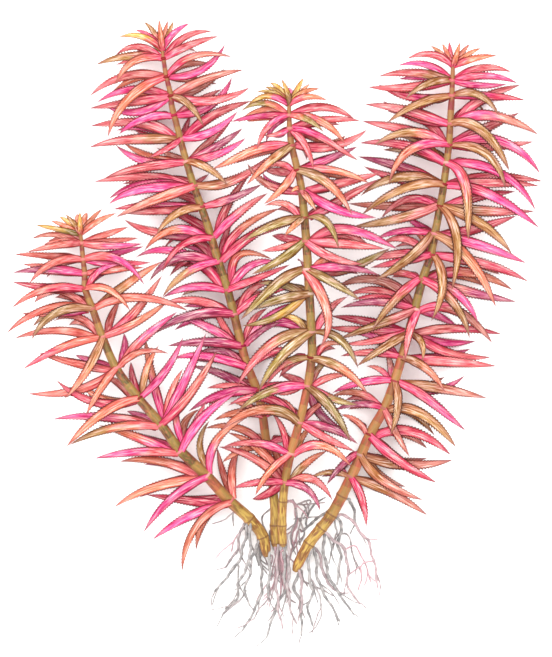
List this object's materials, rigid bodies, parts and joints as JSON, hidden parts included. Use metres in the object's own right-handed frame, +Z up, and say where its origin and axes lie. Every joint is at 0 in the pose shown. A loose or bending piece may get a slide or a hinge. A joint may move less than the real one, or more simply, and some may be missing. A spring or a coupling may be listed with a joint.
{
  "type": "limnophila plant",
  "caption": "Rooted bunch of leafy aquarium stems with whorls of narrow saw-edged leaves, lying flat with its roots spread out.",
  "frame": {"origin": "middle of the footprint on the surface that the plant lies on", "axes": "+Y from the roots to the shoot tips, +X to the right as the plant is seen from above, +Z up, away from the surface"},
  "size_m": [0.2136, 0.2472, 0.0446],
  "materials": {
    "stem": "smooth herb stem, golden olive with darker joints, and pale grey roots",
    "leaf": "thin satin leaf, coral to magenta with a pale midrib and darker saw edge",
    "young_leaf": "thin satin leaf, orange to yellow-green at the shoot tip"
  },
  "bodies": {
    "root": {"crown_left_short": "young_leaf", "crown_left_tall": "young_leaf", "crown_middle": "young_leaf", "crown_right": "young_leaf", "stem_left_short": "stem", "stem_left_tall": "stem", "stem_middle": "stem", "stem_right": "stem", "whorl_left_short_01": "leaf", "whorl_left_short_02": "leaf", "whorl_left_short_03": "leaf", "whorl_left_short_04": "leaf", "whorl_left_short_05": "leaf", "whorl_left_short_06": "leaf", "whorl_left_short_07": "leaf", "whorl_left_short_08": "leaf", "whorl_left_short_09": "leaf", "whorl_left_tall_01": "leaf", "whorl_left_tall_02": "leaf", "whorl_left_tall_03": "leaf", "whorl_left_tall_04": "leaf", "whorl_left_tall_05": "leaf", "whorl_left_tall_06": "leaf", "whorl_left_tall_07": "leaf", "whorl_left_tall_08": "leaf", "whorl_left_tall_09": "leaf", "whorl_left_tall_10": "leaf", "whorl_left_tall_11": "leaf", "whorl_left_tall_12": "leaf", "whorl_left_tall_13": "leaf", "whorl_left_tall_14": "leaf", "whorl_middle_01": "leaf", "whorl_middle_02": "leaf", "whorl_middle_03": "leaf", "whorl_middle_04": "leaf", "whorl_middle_05": "leaf", "whorl_middle_06": "leaf", "whorl_middle_07": "leaf", "whorl_middle_08": "leaf", "whorl_middle_09": "leaf", "whorl_middle_10": "leaf", "whorl_middle_11": "leaf", "whorl_middle_12": "leaf", "whorl_middle_13": "leaf", "whorl_right_01": "leaf", "whorl_right_02": "leaf", "whorl_right_03": "leaf", "whorl_right_04": "leaf", "whorl_right_05": "leaf", "whorl_right_06": "leaf", "whorl_right_07": "leaf", "whorl_right_08": "leaf", "whorl_right_09": "leaf", "whorl_right_10": "leaf", "whorl_right_11": "leaf", "whorl_right_12": "leaf", "whorl_right_13": "leaf", "whorl_right_14": "leaf", "whorl_right_15": "leaf", "whorl_right_16": "leaf"}
  },
  "joints": []
}
